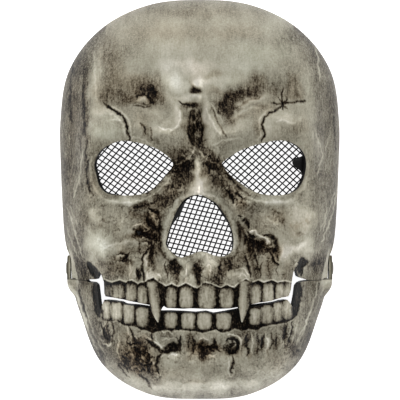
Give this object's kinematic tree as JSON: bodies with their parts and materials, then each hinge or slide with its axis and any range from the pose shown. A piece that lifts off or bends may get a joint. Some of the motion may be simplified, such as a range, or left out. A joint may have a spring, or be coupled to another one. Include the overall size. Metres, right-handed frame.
{
  "type": "skull mask",
  "caption": "Rigid moulded skull face mask with a hinged lower jaw, long upper fangs, and woven wire nets behind the eye and nose openings.",
  "frame": {"origin": "middle of the bounding box in X and Y, on the plane of the open back rim", "axes": "+Z out through the face, +Y towards the crown, +X towards the right side of the picture. The mask lies face up on its rim."},
  "size_m": [0.175, 0.25, 0.1047],
  "materials": {
    "bone_paint": "silver-beige paint with a dark brown wash in the hollows, black plastic inside",
    "black_net": "black coated wire",
    "black_glue": "set black glue",
    "rivet_steel": "plain, dulled"
  },
  "bodies": {
    "skull": {"skull_shell": "bone_paint", "eye_net_left": "black_net", "eye_net_right": "black_net", "nose_net": "black_net", "net_patch": "black_glue", "rivet_left": "rivet_steel", "rivet_right": "rivet_steel"},
    "jaw": {"jaw_shell": "bone_paint"}
  },
  "joints": [
    {"name": "jaw_hinge", "type": "hinge", "parent": "skull", "child": "jaw", "pos_m": [0, -0.043, 0.014], "axis": [1, 0, 0], "range_deg": [0, 20]}
  ]
}
